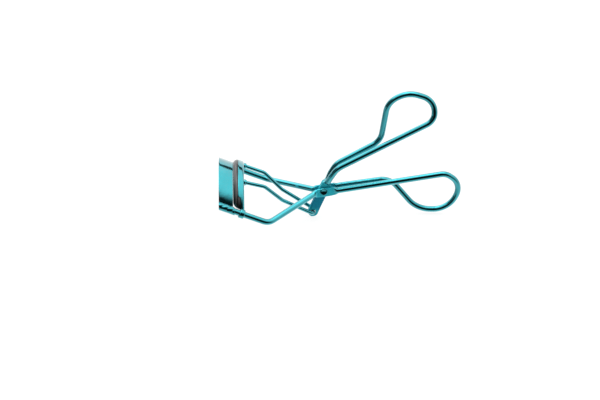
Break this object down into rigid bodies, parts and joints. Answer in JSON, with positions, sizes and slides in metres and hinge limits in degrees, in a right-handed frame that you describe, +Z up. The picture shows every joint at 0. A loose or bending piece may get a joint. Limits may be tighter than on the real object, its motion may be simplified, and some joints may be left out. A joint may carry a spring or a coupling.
{
  "type": "eyelash curler",
  "caption": "Hand-held eyelash curler of bent wire with two finger loops, a rivet pivot, a fixed curved jaw and a padded sliding jaw worked by a push link.",
  "frame": {"origin": "middle of the whole part's box, with the jaws closed", "axes": "+X from the jaws to the finger loops, +Y along the pivot rivet, +Z up in the plane of the finger loops"},
  "size_m": [0.1016, 0.0398, 0.0578],
  "materials": {
    "plated_wire": "mirror-polished plating in teal",
    "plated_sheet": "polished plating in teal with fine rolling lines",
    "plated_rivet": "polished plating in teal",
    "pad_rubber": "satin dark grey silicone"
  },
  "bodies": {
    "frame": {"frame_wire": "plated_wire", "fixed_jaw": "plated_sheet", "pivot_rivet": "plated_rivet"},
    "lever": {"lever_wire": "plated_wire"},
    "moving_jaw": {"jaw_channel": "plated_sheet", "guide_rings": "plated_wire", "lash_pad": "pad_rubber"},
    "link": {"push_link": "plated_wire"}
  },
  "joints": [
    {"name": "lever_pivot", "type": "hinge", "parent": "frame", "child": "lever", "pos_m": [-0.00719, 0, -0.01605], "axis": [0, 1, 0], "range_deg": [-30, 0]},
    {"name": "jaw_slide", "type": "slide", "parent": "frame", "child": "moving_jaw", "axis": [-0.9178, 0, 0.3971], "range_m": [-0.0057, 0]},
    {"name": "link_hinge", "type": "hinge", "parent": "moving_jaw", "child": "link", "pos_m": [-0.04059, 0, -0.00815], "axis": [0, 1, 0], "range_deg": [-2.4, 0]}
  ],
  "couplings": [
    {"joint": "jaw_slide", "follows": "lever_pivot", "m_per_rad": 0.010695},
    {"joint": "link_hinge", "follows": "lever_pivot", "ratio": 0.07654}
  ]
}
